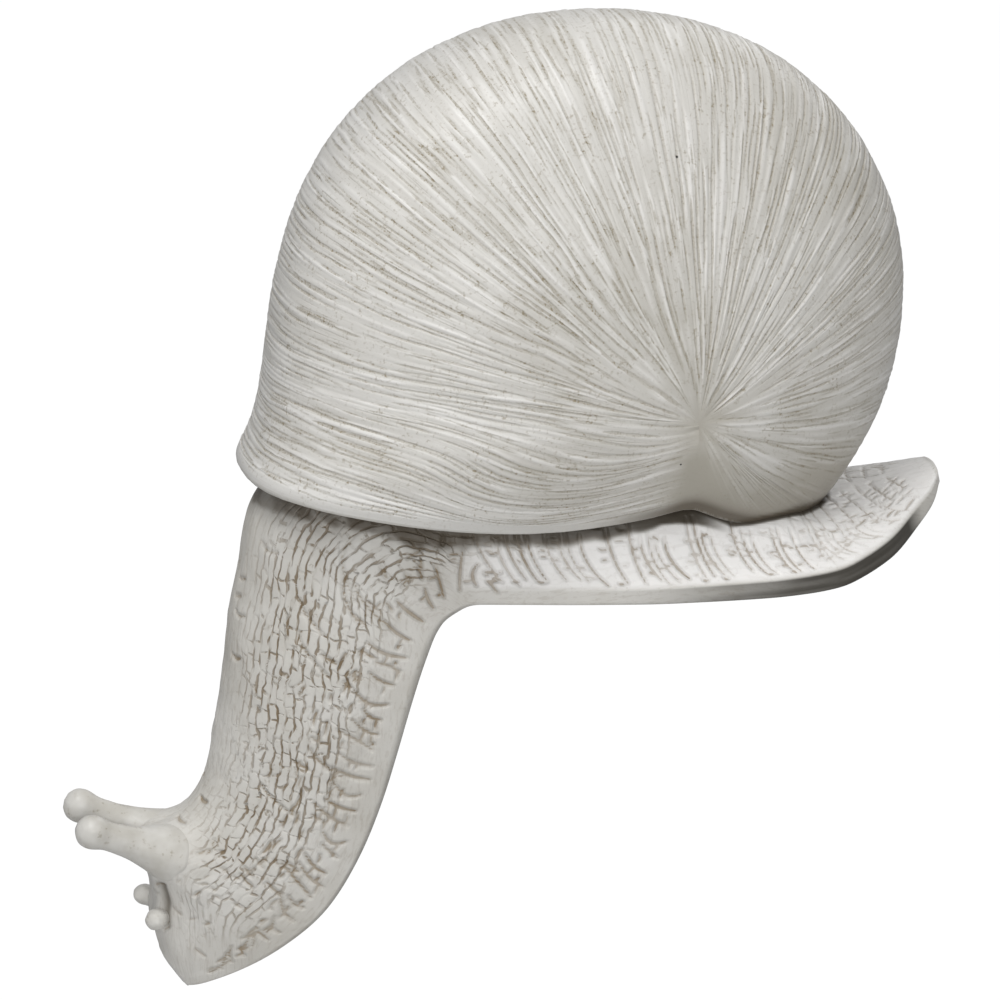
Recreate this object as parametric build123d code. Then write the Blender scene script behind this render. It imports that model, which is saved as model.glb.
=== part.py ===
from build123d import *
import os
from math import cos, sin, radians

os.makedirs("parts", exist_ok=True)

# A cast snail figurine that sits on a ledge: the foot lies flat on the ledge, and the neck and head hang
# down over its edge. Tail towards +X, head towards -X and down, the snail's left side towards -Y.
# Reaches and heights are measured from the ledge's upper front edge, on the middle plane, and the finished
# parts are then moved so that the origin is the middle of the sole's rest on the ledge. Millimetres.

# From the ledge's front edge back to the middle of the sole's rest
rest_setback = 45.0

# Shell: a flat coil grown about one axis that runs across the snail
shell_reach = 82.6
shell_half_width = 36.5
shell_wall = 4.0
coil_x = 50.3
coil_z = 41.6
flank_lead_x = 13.0
flank_lead_z = 2.0
flank_fullness = 2.25
lip_front_height = 24.5
umbilicus_ball = 20.0
umbilicus_depth = 1.6

# Foot, on the ledge
foot_length = 107.0
foot_half_width = 31.0
foot_depth = 24.0
tail_rise = 13.8
rim_height = 4.2
ledge_trim = 0.4

# Neck and head, in front of the ledge
neck_reach = 50.0
neck_drop = 83.0
neck_depth = 37.0
neck_half_width = 22.0

# Eye stalks, each cast round a steel wire, and the short feelers below them, placed from the brow, which
# is the head's back at one neck station
eye_ahead = 12.2
eye_above = 4.0
eye_spacing = 15.2
eye_radius = 3.6
stalk_tip_radius = 2.3
stalk_root_radius = 4.6
stalk_root_behind = 8.3
stalk_root_below = 7.4
stalk_root_spacing = 13.0
feeler_behind = 0.6
feeler_below = 16.9
feeler_spacing = 14.0
feeler_bulb_radius = 2.4
feeler_radius = 1.2
feeler_root_behind = 5.2
feeler_root_below = 12.0
wire_radius = 0.8
wire_root_length = 12.0

# Seat: a plug on the body that fills the shell's mouth just inside the lip, and the adhesive on top of it
seat_recess = 1.2
seat_height = 5.0
bond_height = 2.5
bond_width = 5.0

# Coil radius as a share of shell_reach, by the angle about the coil's axis from the tail over the top
coil_shares = [
    (-180, 0.990),
    (-173, 1.028),
    (-167, 1.088),
    (-155, 1.018),
    (-140, 0.751),
    (-116, 0.496),
    (-90, 0.424),
    (-72, 0.460),
    (-54, 0.521),
    (-35, 0.531),
    (-15, 0.547),
    (10, 0.593),
    (40, 0.688),
    (70, 0.788),
    (100, 0.884),
    (125, 0.969),
    (145, 1.000),
    (165, 0.985),
]

# Lip's height as a share of lip_front_height, along the coil's reach from its axis
lip_shares = [
    (-1.40, 1.060),
    (-1.07, 1.000),
    (-0.95, 0.940),
    (-0.73, 0.830),
    (-0.49, 0.720),
    (-0.23, 0.650),
    (-0.11, 0.700),
    (-0.02, 0.775),
    (0.07, 0.640),
    (0.16, 0.500),
    (0.80, 0.490),
]

# Foot stations from the tail: place and height of the sole, lean of the section in degrees, and the
# section's depth, half-width, rim and roundness, as shares of the foot's own sizes
foot_shares = [
    (1.000, 1.000, 112, 0.110, 0.129, 0.38, 1.00),
    (0.977, 0.797, 110, 0.180, 0.300, 0.62, 1.00),
    (0.930, 0.551, 106, 0.282, 0.485, 0.86, 1.00),
    (0.850, 0.240, 102, 0.385, 0.740, 1.00, 0.80),
    (0.738, 0.036, 96, 0.545, 0.925, 1.00, 0.35),
    (0.598, 0.000, 90, 0.729, 1.000, 0.95, 0.00),
    (0.421, 0.000, 90, 0.875, 0.968, 0.86, 0.00),
    (0.262, 0.000, 90, 0.917, 0.871, 0.81, 0.00),
    (0.121, 0.000, 90, 1.000, 0.755, 0.81, 0.10),
]

# Neck stations from the ledge down to the chin, as shares of the neck's own sizes
neck_shares = [
    (0.110, -0.006, 98, 0.703, 0.991, 0.90, 0.40),
    (0.016, -0.031, 126, 1.027, 0.991, 1.05, 0.80),
    (-0.024, -0.063, 143, 1.081, 0.991, 1.12, 0.92),
    (-0.062, -0.120, 156, 0.990, 0.991, 1.19, 1.00),
    (-0.098, -0.185, 163, 0.955, 0.986, 1.19, 1.00),
    (-0.134, -0.262, 168, 0.922, 0.965, 1.18, 1.00),
    (-0.178, -0.365, 169, 0.895, 0.925, 1.16, 1.00),
    (-0.235, -0.490, 165, 0.865, 0.870, 1.10, 1.00),
    (-0.320, -0.630, 157, 0.845, 0.805, 1.05, 1.00),
    (-0.460, -0.777, 146, 0.865, 0.727, 0.95, 1.00),
    (-0.650, -0.882, 136, 0.895, 0.609, 0.86, 1.00),
    (-0.815, -0.946, 130, 0.700, 0.459, 0.71, 1.00),
    (-0.936, -0.980, 126, 0.430, 0.300, 0.57, 1.00),
    (-0.996, -0.996, 122, 0.155, 0.173, 0.38, 1.00),
]

# The neck station whose back is the brow, counted from 0
brow_station = 10

# Half outlines of a section above its rim, from the rim's edge to the middle: the foot's skirt, and the
# round back of the neck
skirt_shares = [(1, 0), (0.94, 0.12), (0.89, 0.35), (0.84, 0.62), (0.7, 0.88), (0.36, 0.98), (0, 1)]
round_shares = [(1, 0), (0.966, 0.26), (0.866, 0.5), (0.707, 0.707), (0.5, 0.866), (0.26, 0.966), (0, 1)]

# Across the shell, as angles of the flank's curve
flank_angles = [-88, -84, -76, -64, -48, -32, -16, 0, 16, 32, 48, 64, 76, 84, 88]


def flank_curve(angle):
    """Size and sideways place of the coil's outline at one angle of the flank's curve."""
    power = 2 / flank_fullness
    size = cos(radians(angle)) ** power
    side = abs(sin(radians(angle))) ** power
    return size, side if angle > 0 else -side


def coil_outline(angle, inset):
    """The coil's closed outline in one plane square to its axis, drawn in by inset all round."""
    size, side = flank_curve(angle)
    middle_x = coil_x - flank_lead_x * side**2
    middle_z = coil_z + flank_lead_z * side**2
    y = (shell_half_width - inset) * side
    points = []
    for turn, share in coil_shares:
        radius = (shell_reach * share - inset) * size
        points.append((middle_x + radius * cos(radians(turn)), y, middle_z + radius * sin(radians(turn))))
    return Face(Wire([Edge.make_spline(points, periodic=True)]))


def coil_body(inset):
    """The whole closed coil, drawn in by inset."""
    return Solid.make_loft([coil_outline(angle, inset).outer_wire() for angle in flank_angles])


def above_lip():
    """Everything above the lip's line, as a block across the snail."""
    points = [(coil_x + shell_reach * x, 0, lip_front_height * z) for x, z in lip_shares]
    top = coil_z + 2 * shell_reach
    corners = [points[-1], (points[-1][0], 0, top), (points[0][0], 0, top), points[0]]
    edges = [Edge.make_spline(points)]
    edges += [Edge.make_line(a, b) for a, b in zip(corners, corners[1:])]
    side = Face(Wire(edges))
    return extrude(side, amount=2 * shell_half_width, dir=(0, 1, 0), both=True)


def lip_band(low, high):
    """A layer that follows the lip's line, from low to high above it."""
    return Pos(0, 0, low) * above_lip() - Pos(0, 0, high) * above_lip()


def umbilicus(side):
    """The ball that leaves the shallow hollow where the coil turns in on its flank."""
    y = side * (shell_half_width - umbilicus_depth + umbilicus_ball)
    return Pos(coil_x, y, coil_z) * Sphere(umbilicus_ball)


def shell():
    """The hollow shell, open below its lip."""
    walls = coil_body(0) - coil_body(shell_wall)
    walls -= [umbilicus(side) for side in (-1, 1)]
    return walls & above_lip()


def body_section(x, z, lean, depth, half_width, rim, roundness):
    """One section of the foot or neck: flat sole, low upright rim, and the back above it."""
    out = Vector(cos(radians(lean)), 0, sin(radians(lean)))
    foot = Vector(x, 0, z)
    half = []
    for (skirt_y, skirt_up), (round_y, round_up) in zip(skirt_shares, round_shares):
        y = half_width * (skirt_y + (round_y - skirt_y) * roundness)
        up = rim + (depth - rim) * (skirt_up + (round_up - skirt_up) * roundness)
        half.append((y, up))
    outline = half + [(-y, up) for y, up in reversed(half[:-1])]
    back = [foot + out * up + Vector(0, y, 0) for y, up in outline]
    heel = [foot + Vector(0, y, 0) for y in (half_width, -half_width)]
    edges = [
        Edge.make_line(heel[0], back[0]),
        Edge.make_spline(back),
        Edge.make_line(back[-1], heel[1]),
        Edge.make_line(heel[1], heel[0]),
    ]
    return Wire(edges)


def body_block():
    """Foot, neck and head as one form, before its seats are cut."""
    sections = []
    for x, z, lean, depth, half_width, rim, roundness in foot_shares:
        place = (foot_length * x, tail_rise * z - ledge_trim)
        size = (foot_depth * depth + ledge_trim, foot_half_width * half_width, rim_height * rim + ledge_trim)
        sections.append(body_section(*place, lean, *size, roundness))
    for x, z, lean, depth, half_width, rim, roundness in neck_shares:
        place = (neck_reach * x, neck_drop * z)
        size = (neck_depth * depth, neck_half_width * half_width, rim_height * rim)
        sections.append(body_section(*place, lean, *size, roundness))
    return Solid.make_loft(sections)


def ledge_block():
    """The ledge's own space under the foot, which leaves the sole dead flat."""
    start = 2 * rim_height
    end = 2 * foot_length
    face = Face(Wire.make_polygon([(start, 0, 0), (end, 0, 0), (end, 0, -start), (0, 0, -start)]))
    return extrude(face, amount=2 * foot_half_width, dir=(0, 1, 0), both=True)


def brow():
    """The head's back at the station that carries the eye stalks."""
    x, z, lean, depth = neck_shares[brow_station][:4]
    back = Vector(cos(radians(lean)), 0, sin(radians(lean))) * (neck_depth * depth)
    return Vector(neck_reach * x, 0, neck_drop * z) + back


def stalk_line(side):
    """Root and tip of one eye stalk."""
    root = brow() + Vector(stalk_root_behind, side * stalk_root_spacing / 2, -stalk_root_below)
    tip = brow() + Vector(-eye_ahead, side * eye_spacing / 2, eye_above)
    return root, tip


def feeler_line(side):
    """Root and tip of one lower feeler."""
    root = brow() + Vector(feeler_root_behind, side * feeler_spacing / 2, -feeler_root_below)
    tip = brow() + Vector(feeler_behind, side * feeler_spacing / 2, -feeler_below)
    return root, tip


def taper(start, end, start_radius, end_radius):
    """A round tapered length from start to end."""
    along = Plane(origin=start, z_dir=end - start)
    length = (end - start).length
    middle = along * Pos(0, 0, length / 2)
    if start_radius == end_radius:
        return middle * Cylinder(start_radius, length)
    return middle * Cone(start_radius, end_radius, length)


def stalk_form(line, root_radius, tip_radius, bulb_radius):
    """A stalk with its bulb."""
    root, tip = line
    return taper(root, tip, root_radius, tip_radius) + Pos(*tip) * Sphere(bulb_radius)


def stalk_wire(side):
    """The steel wire in an eye stalk, from the middle of its bulb into the head."""
    root, tip = stalk_line(side)
    along = (root - tip).normalized()
    return taper(tip, root + along * wire_root_length, wire_radius, wire_radius)


def seat():
    """The plug that fills the shell's mouth just inside the lip."""
    return coil_body(shell_wall) & lip_band(seat_recess, seat_recess + seat_height)


def shell_room():
    """The room that stays empty in the shell, above the seat."""
    return coil_body(shell_wall) & (Pos(0, 0, seat_recess + seat_height) * above_lip())


def shell_bond():
    """Adhesive laid round the top of the seat, against the shell's wall."""
    ring = coil_body(shell_wall) - coil_body(shell_wall + bond_width)
    top = seat_recess + seat_height
    return ring & lip_band(top, top + bond_height)


def write(name, shape):
    """One sub-part to its own file, seen from the middle of the sole's rest."""
    placed = Pos(-rest_setback, 0, 0) * shape
    placed.label = name
    export_step(placed, f"parts/{name}.step")


def main():
    shell_part = shell()
    body = body_block() - ledge_block() - shell_room() + seat() - shell_part
    pieces = {}
    for name, side in (("left", -1), ("right", 1)):
        stalk = stalk_form(stalk_line(side), stalk_root_radius, stalk_tip_radius, eye_radius)
        feeler = stalk_form(feeler_line(side), feeler_radius, feeler_radius, feeler_bulb_radius)
        wire = stalk_wire(side)
        body = body - stalk - feeler - wire
        pieces[f"eye_stalk_{name}"] = stalk - wire
        pieces[f"eye_stalk_wire_{name}"] = wire
        pieces[f"feeler_{name}"] = feeler
    pieces["shell"] = shell_part
    pieces["body"] = body
    pieces["shell_bond"] = shell_bond()
    for name, shape in pieces.items():
        write(name, shape)


main()
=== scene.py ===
from math import atan, cos, pi, radians, sin

import bmesh
import bpy
import numpy as np
from mathutils import Matrix, Vector


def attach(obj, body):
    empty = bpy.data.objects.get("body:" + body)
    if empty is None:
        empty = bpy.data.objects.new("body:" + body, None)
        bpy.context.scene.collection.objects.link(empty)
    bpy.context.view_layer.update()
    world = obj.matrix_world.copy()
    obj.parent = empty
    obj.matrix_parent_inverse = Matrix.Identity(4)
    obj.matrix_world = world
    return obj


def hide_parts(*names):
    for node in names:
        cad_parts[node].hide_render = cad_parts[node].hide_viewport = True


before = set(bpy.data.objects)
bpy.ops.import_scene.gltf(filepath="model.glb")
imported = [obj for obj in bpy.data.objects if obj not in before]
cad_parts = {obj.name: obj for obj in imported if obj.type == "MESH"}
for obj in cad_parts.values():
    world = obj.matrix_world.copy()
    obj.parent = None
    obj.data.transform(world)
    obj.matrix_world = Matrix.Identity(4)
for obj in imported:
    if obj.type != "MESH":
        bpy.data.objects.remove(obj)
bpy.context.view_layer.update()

# Sizes in millimetres, as the cast parts have them, measured from the ledge's upper front edge
MM = 0.001
REST_SETBACK = 45.0
SHELL_REACH, SHELL_HALF_WIDTH = 82.6, 36.5
COIL = (50.3, 41.6)
UMBILICUS_SHIFT = (-2.1, -2.8)
FLANK_LEAD, FLANK_FULLNESS = (13.0, 2.0), 2.25
LIP_FRONT, LIP_ROLL = 24.5, 1.1
SEAT_STEP, SEAT_INSET, SEAT_PLATE = 2.4, 2.2, 2.0
FOOT = {"length": 107.0, "rise": 13.8, "depth": 24.0, "half_width": 31.0}
NECK = {"length": 50.0, "rise": 83.0, "depth": 37.0, "half_width": 22.0}
RIM = 4.2

# Turns about the coil's axis in degrees, with the coil's share of its reach, and the lip's height by place
NOTCH_TURN, VALLEY_TURN = -92.0, 172.0
COIL_SHARES = [
    (-180, 0.990), (-173, 1.028), (-167, 1.088), (-155, 1.018), (-140, 0.751), (-116, 0.496),
    (-90, 0.424), (-72, 0.460), (-54, 0.521), (-35, 0.531), (-15, 0.547), (10, 0.593), (40, 0.688),
    (70, 0.788), (100, 0.884), (125, 0.969), (145, 1.000), (165, 0.985),
]
LIP_SHARES = [
    (-1.40, 1.060), (-1.07, 1.000), (-0.95, 0.940), (-0.73, 0.830), (-0.49, 0.720), (-0.23, 0.650),
    (-0.11, 0.690), (-0.02, 0.725), (0.07, 0.625), (0.16, 0.500), (0.80, 0.490),
]

# Sections of foot and neck: place, rise, lean in degrees, depth, half-width, rim and roundness
FOOT_SHARES = [
    (1.000, 1.000, 100, 0.126, 0.140, 0.38, 1.00),
    (0.977, 0.797, 105, 0.190, 0.310, 0.62, 1.00),
    (0.930, 0.551, 106, 0.282, 0.485, 0.86, 1.00),
    (0.850, 0.240, 102, 0.385, 0.740, 1.00, 0.80),
    (0.738, 0.036, 96, 0.545, 0.925, 1.00, 0.35),
    (0.598, 0.000, 90, 0.729, 1.000, 0.95, 0.00),
    (0.421, 0.000, 90, 0.875, 0.968, 0.86, 0.00),
    (0.262, 0.000, 90, 0.917, 0.871, 0.81, 0.00),
    (0.121, 0.000, 90, 1.000, 0.755, 0.81, 0.10),
]
NECK_SHARES = [
    (0.110, -0.006, 98, 0.703, 0.991, 0.90, 0.40),
    (0.016, -0.031, 126, 1.027, 0.991, 1.05, 0.80),
    (-0.024, -0.063, 143, 1.081, 0.991, 1.12, 0.92),
    (-0.062, -0.120, 156, 0.990, 0.991, 1.19, 1.00),
    (-0.098, -0.185, 163, 0.955, 0.986, 1.19, 1.00),
    (-0.134, -0.262, 168, 0.922, 0.965, 1.18, 1.00),
    (-0.178, -0.365, 169, 0.895, 0.925, 1.16, 1.00),
    (-0.235, -0.490, 165, 0.865, 0.870, 1.10, 1.00),
    (-0.320, -0.630, 157, 0.845, 0.805, 1.05, 1.00),
    (-0.460, -0.777, 146, 0.865, 0.727, 0.95, 1.00),
    (-0.650, -0.882, 136, 0.895, 0.609, 0.86, 1.00),
    (-0.815, -0.946, 130, 0.630, 0.459, 0.71, 1.00),
    (-0.936, -0.980, 126, 0.410, 0.340, 0.57, 1.00),
    (-0.970, -0.990, 126, 0.300, 0.270, 0.48, 1.00),
    (-0.996, -0.996, 126, 0.175, 0.190, 0.38, 1.00),
]
BROW_STATION = 10
SKIRT_SHARES = [(1, 0), (0.94, 0.12), (0.89, 0.35), (0.84, 0.62), (0.7, 0.88), (0.36, 0.98), (0, 1)]
ROUND_SHARES = [(1, 0), (0.966, 0.26), (0.866, 0.5), (0.707, 0.707), (0.5, 0.866), (0.26, 0.966), (0, 1)]

# Limbs: radius by the way from the root, and by the way past the middle of the bulb
STALK_PROFILE = [(0, 3.2), (3, 3.7), (6, 3.85), (9, 3.7), (12, 3.45), (15, 3.2), (18, 3.0), (20, 2.95)]
STALK_BULB = [(-2.5, 3.05), (-1.3, 3.32), (0, 3.5), (1.2, 3.32), (2.2, 2.82), (3.0, 1.9), (3.42, 0.85),
              (3.56, 0.05)]
FEELER_PROFILE = [(-0.5, 1.1), (1.0, 1.2)]
FEELER_BULB = [(-2.4, 1.35), (-1.3, 1.8), (0, 2.15), (1.0, 1.92), (1.6, 1.48), (2.0, 0.85), (2.2, 0.05)]
STALK_FILLET, FEELER_FILLET, FEELER_RADIUS = 8.0, 2.5, 1.8


# Curves, grain and meshes

def flowing(xs, ys):
    """A smooth curve through the points."""
    xs, ys = np.asarray(xs, float), np.asarray(ys, float)
    n, h = len(xs), np.diff(xs)
    system, right = np.eye(n), np.zeros(n)
    for i in range(1, n - 1):
        system[i, i - 1:i + 2] = h[i - 1], 2 * (h[i - 1] + h[i]), h[i]
        right[i] = 6 * ((ys[i + 1] - ys[i]) / h[i] - (ys[i] - ys[i - 1]) / h[i - 1])
    bend = np.linalg.solve(system, right)

    def at(x):
        k = np.clip(np.searchsorted(xs, x) - 1, 0, n - 2)
        d, e, w = x - xs[k], xs[k + 1] - x, h[k]
        curve = (bend[k] * e**3 + bend[k + 1] * d**3) / (6 * w)
        return curve + (ys[k] / w - bend[k] * w / 6) * e + (ys[k + 1] / w - bend[k + 1] * w / 6) * d

    return at


def steady(xs, ys):
    """A curve through the points that never swings past them."""
    h = np.diff(xs)
    d = np.diff(ys) / h
    slope = np.concatenate([d[:1], np.zeros(len(xs) - 2), d[-1:]])
    same = d[:-1] * d[1:] > 0
    slope[1:-1][same] = 2 * d[:-1][same] * d[1:][same] / (d[:-1] + d[1:])[same]

    def at(x):
        k = np.clip(np.searchsorted(xs, x) - 1, 0, len(xs) - 2)
        t, w = (x - xs[k]) / h[k], h[k]
        rise = ys[k] * (1 + 2 * t) * (1 - t)**2 + ys[k + 1] * t**2 * (3 - 2 * t)
        return rise + w * (slope[k] * t * (1 - t)**2 - slope[k + 1] * t**2 * (1 - t))

    return at


def ease(x, low, high):
    """0 below low, 1 above high, and soft between."""
    t = np.clip((x - low) / (high - low), 0, 1)
    return t * t * (3 - 2 * t)


def bell(x, reach):
    """1 at 0, and almost nothing twice the reach away."""
    return np.exp(-(x / reach)**2)


def grain(x, y, seed, tile=256):
    """Seeded soft noise from 0 to 1, with one lump for each unit of x and y."""
    table = np.random.default_rng(seed).random((tile, tile))
    x0, y0 = np.floor(x).astype(int), np.floor(y).astype(int)
    fx, fy = ease(x - x0, 0, 1), ease(y - y0, 0, 1)
    x0, x1, y0, y1 = x0 % tile, (x0 + 1) % tile, y0 % tile, (y0 + 1) % tile
    low = table[x0, y0] * (1 - fx) + table[x1, y0] * fx
    return low * (1 - fy) + (table[x0, y1] * (1 - fx) + table[x1, y1] * fx) * fy


def lumps(x, y, seed, size):
    """Grain round 0, from minus to plus half its size."""
    return (grain(x, y, seed) - 0.5) * size


def between(grid, i, j):
    """Values of a grid between its rows and columns."""
    i0, j0 = np.clip(i.astype(int), 0, len(grid) - 2), np.clip(j.astype(int), 0, grid.shape[1] - 2)
    fi, fj = i - i0, j - j0
    if grid.ndim > 2:
        fi, fj = fi[..., None], fj[..., None]
    low = grid[i0, j0] * (1 - fj) + grid[i0, j0 + 1] * fj
    return low * (1 - fi) + (grid[i0 + 1, j0] * (1 - fj) + grid[i0 + 1, j0 + 1] * fj) * fi


def halved(low, high, steps, goes_on):
    """The ends of a span that is halved again and again, towards the place where goes_on stops."""
    for _ in range(steps):
        middle = (low + high) / 2
        on = goes_on(middle)
        low, high = np.where(on, middle, low), np.where(on, high, middle)
    return low, high


def length_of(vectors):
    return np.linalg.norm(vectors, axis=-1)


def run_of(points):
    """The way along a line of points, or along each row of a grid."""
    steps = length_of(np.diff(points, axis=-2))
    return np.concatenate([np.zeros_like(steps[..., :1]), np.cumsum(steps, axis=-1)], -1)


def sampled(places, run, points):
    """The points of a line at other places along it."""
    return np.stack([np.interp(places, run, points[:, i]) for i in range(points.shape[1])], 1)


def unit(vectors):
    """Vectors of length 1."""
    return vectors / np.maximum(length_of(vectors), 1e-9)[..., None]


def link(name, data):
    """A new object in the scene."""
    made = bpy.data.objects.new(name, data)
    bpy.context.scene.collection.objects.link(made)
    return made


class Casting:
    """A mesh that is put together from grids and fans, in millimetres from the ledge's edge."""

    WELD, FLAT = 5e-7, 1e-13

    def __init__(self):
        self.points, self.faces, self.places, self.marks, self.count = [], [], [], {}, 0

    def add(self, points, faces, places=None, **marks):
        """Adds points with their faces, their places on the skin and their marks."""
        points = points.reshape(-1, 3)
        size = len(points)
        places = np.zeros((size, 2)) if places is None else places.reshape(-1, 2)
        for name in set(self.marks) | set(marks):
            values = np.asarray(marks.get(name, np.zeros(size)), float).reshape(-1)
            values = np.full(size, values[0]) if len(values) == 1 else values
            self.marks.setdefault(name, [np.zeros(self.count)]).append(values)
        self.faces += [face + self.count for face in faces]
        self.points.append(points)
        self.places.append(places)
        self.count += size

    def grid(self, points, places=None, closed=False, **marks):
        """Adds a grid of points, closed round its second direction or not."""
        rows, cols = points.shape[:2]
        index = np.arange(rows * cols).reshape(rows, cols)
        if closed:
            index = np.concatenate([index, index[:, :1]], 1)
        quads = np.stack([index[:-1, :-1], index[1:, :-1], index[1:, 1:], index[:-1, 1:]], -1)
        self.add(points, [quads.reshape(-1, 4)], places, **marks)

    def zip(self, first, second, first_places, second_places, **marks):
        """Joins two lines of points that start together."""
        a, b, faces = 0, 0, []
        while a < len(first) - 1 or b < len(second) - 1:
            ahead = (a + 1) * (len(second) - 1) <= (b + 1) * (len(first) - 1)
            if (ahead and a < len(first) - 1) or b == len(second) - 1:
                faces.append((a, a + 1, len(first) + b))
                a += 1
            else:
                faces.append((a, len(first) + b + 1, len(first) + b))
                b += 1
        places = np.vstack([first_places, second_places])
        self.add(np.vstack([first, second]), [np.array(faces)], places, **marks)

    def fan(self, ring, middle, **marks):
        """Closes a ring with a fan to its middle."""
        a = np.arange(len(ring))
        tris = np.stack([a, np.roll(a, -1), np.full(len(a), len(a))], 1)
        self.add(np.vstack([ring, middle]), [tris], **marks)

    def piece(self, name, finish, slot, node):
        """The finished mesh as a smooth piece that rides on the snail in place of a cast node."""
        points = (np.vstack(self.points) - [REST_SETBACK, 0, 0]) * MM
        mesh = bpy.data.meshes.new(name)
        loops = np.concatenate([f.reshape(-1) for f in self.faces])
        sides = np.concatenate([np.full(len(f), f.shape[1]) for f in self.faces])
        mesh.vertices.add(len(points))
        mesh.vertices.foreach_set("co", points.reshape(-1))
        mesh.loops.add(len(loops))
        mesh.loops.foreach_set("vertex_index", loops)
        mesh.polygons.add(len(sides))
        mesh.polygons.foreach_set("loop_start", np.cumsum(sides) - sides)
        mesh.polygons.foreach_set("loop_total", sides)
        mesh.update(calc_edges=True)
        layer = mesh.uv_layers.new(name="skin")
        layer.data.foreach_set("uv", np.vstack(self.places)[loops].reshape(-1).astype(np.float32))
        for mark, values in self.marks.items():
            attribute = mesh.attributes.new(mark, "FLOAT", "POINT")
            attribute.data.foreach_set("value", np.concatenate(values).astype(np.float32))
        welded = bmesh.new()
        welded.from_mesh(mesh)
        bmesh.ops.remove_doubles(welded, verts=welded.verts, dist=self.WELD)
        flat = [f for f in welded.faces if f.calc_area() < self.FLAT]
        bmesh.ops.delete(welded, geom=flat, context="FACES")
        bmesh.ops.delete(welded, geom=[v for v in welded.verts if not v.link_faces], context="VERTS")
        bmesh.ops.recalc_face_normals(welded, faces=welded.faces)
        for face in welded.faces:
            face.smooth = True
        welded.to_mesh(mesh)
        welded.free()
        mesh.materials.append(finish)
        made = link(name, mesh)
        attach(made, "root")
        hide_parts(node)


# Finishes

class Wire:
    """One socket of a finish: sums and products with it add Math nodes."""

    def __init__(self, finish, socket):
        self.finish, self.socket = finish, socket

    def maths(self, operation, other=0.0, swapped=False):
        pair = (other, self) if swapped else (self, other)
        return self.finish.node("Math", {"operation": operation}, {0: pair[0], 1: pair[1]})

    def __add__(self, other):
        return self.maths("ADD", other)

    def __mul__(self, other):
        return self.maths("MULTIPLY", other)

    def __sub__(self, other):
        return self.maths("SUBTRACT", other)

    def __rsub__(self, other):
        return self.maths("SUBTRACT", other, swapped=True)

    __radd__ = __add__
    __rmul__ = __mul__


class Finish:
    """A material, or the room's light, that is mixed node by node."""

    def __init__(self, name, kind=bpy.data.materials):
        self.owner = kind.new(name)
        self.owner.use_nodes = True
        self.tree = self.owner.node_tree
        self.tree.nodes.clear()

    def node(self, kind, settings=None, sockets=None, out=0):
        """Adds one node, its settings first, and gives one of its outputs."""
        made = self.tree.nodes.new("ShaderNode" + kind)
        for key, value in (settings or {}).items():
            setattr(made, key, value)
        for key, value in (sockets or {}).items():
            if isinstance(value, Wire):
                self.tree.links.new(value.socket, made.inputs[key])
            else:
                made.inputs[key].default_value = value
        return Wire(self, made.outputs[out]) if made.outputs else made

    def mark(self, name):
        return self.node("Attribute", {"attribute_name": name}, out=2)

    def place(self):
        return self.node("TexCoord", out=3)

    def skin(self):
        return self.parts(self.node("UVMap", {"uv_map": "skin"}))[:2]

    def spot(self, x=0.0, y=0.0, z=0.0):
        return self.node("CombineXYZ", None, {0: x, 1: y, 2: z})

    def parts(self, vector):
        return [Wire(self, s) for s in self.node("SeparateXYZ", None, {0: vector}).socket.node.outputs]

    def noise(self, scale, detail=2.0, roughness=0.6, at=None):
        sockets = {"Vector": at or self.place(), "Scale": scale, "Detail": detail, "Roughness": roughness}
        return self.node("TexNoise", {"noise_dimensions": "3D"}, sockets)

    def band(self, value, low, high, start=0.0, end=1.0):
        sockets = {0: value, 1: low, 2: high, 3: start, 4: end}
        return self.node("MapRange", {"interpolation_type": "SMOOTHSTEP"}, sockets)

    def blend(self, amount, first, second):
        return self.node("Mix", {"data_type": "RGBA"}, {0: amount, 6: first, 7: second}, out=2)

    def mix(self, amount, first, second, output):
        """Ends a tree that mixes two shaders."""
        self.node(output, None, {"Surface": self.node("MixShader", None, {0: amount, 1: first, 2: second})})
        return self.owner

    def shine(self, colour, roughness, height, depth, strength, **constants):
        """Ends a finish: satin paint over what has been mixed."""
        bump = self.node("Bump", None, {"Strength": strength, "Distance": depth, "Height": height})
        sockets = {"Base Color": colour, "Roughness": roughness, "Normal": bump, **constants}
        self.node("OutputMaterial", None, {"Surface": self.node("BsdfPrincipled", None, sockets)})
        return self.owner


def tone(red, green, blue):
    """A paint's colour, from its 0 to 255 values as seen."""
    shares = [v / 255 for v in (red, green, blue)]
    return tuple(v / 12.92 if v <= 0.04045 else ((v + 0.055) / 1.055)**2.4 for v in shares) + (1.0,)


# CHALK is dry-brushed white, and on the foot's back also painted light; SHADE_DARK and SHADE_BROWN are
# painted shade
IVORY, SHELL_IVORY, STALK_IVORY = tone(219, 217, 212), tone(216, 214, 209), tone(217, 215, 210)
CHALK, TAUPE, SHADE_DARK = tone(244, 242, 239), tone(173, 168, 156), tone(58, 54, 46)
WASH, SHADE_BROWN, PINHOLE = tone(141, 130, 108), tone(84, 74, 59), tone(40, 36, 32)
SKIN_WASH, CUT_WASH = tone(128, 112, 89), tone(139, 120, 92)
EPOXY, CLEAR_EPOXY = tone(205, 180, 128), tone(222, 205, 168)
STEEL, BRIGHT_STEEL = tone(150, 150, 152), tone(186, 186, 188)
UV_SPAN = 100
SLIM_ROW, BROAD_ROW = 1.75, 2.1


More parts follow.
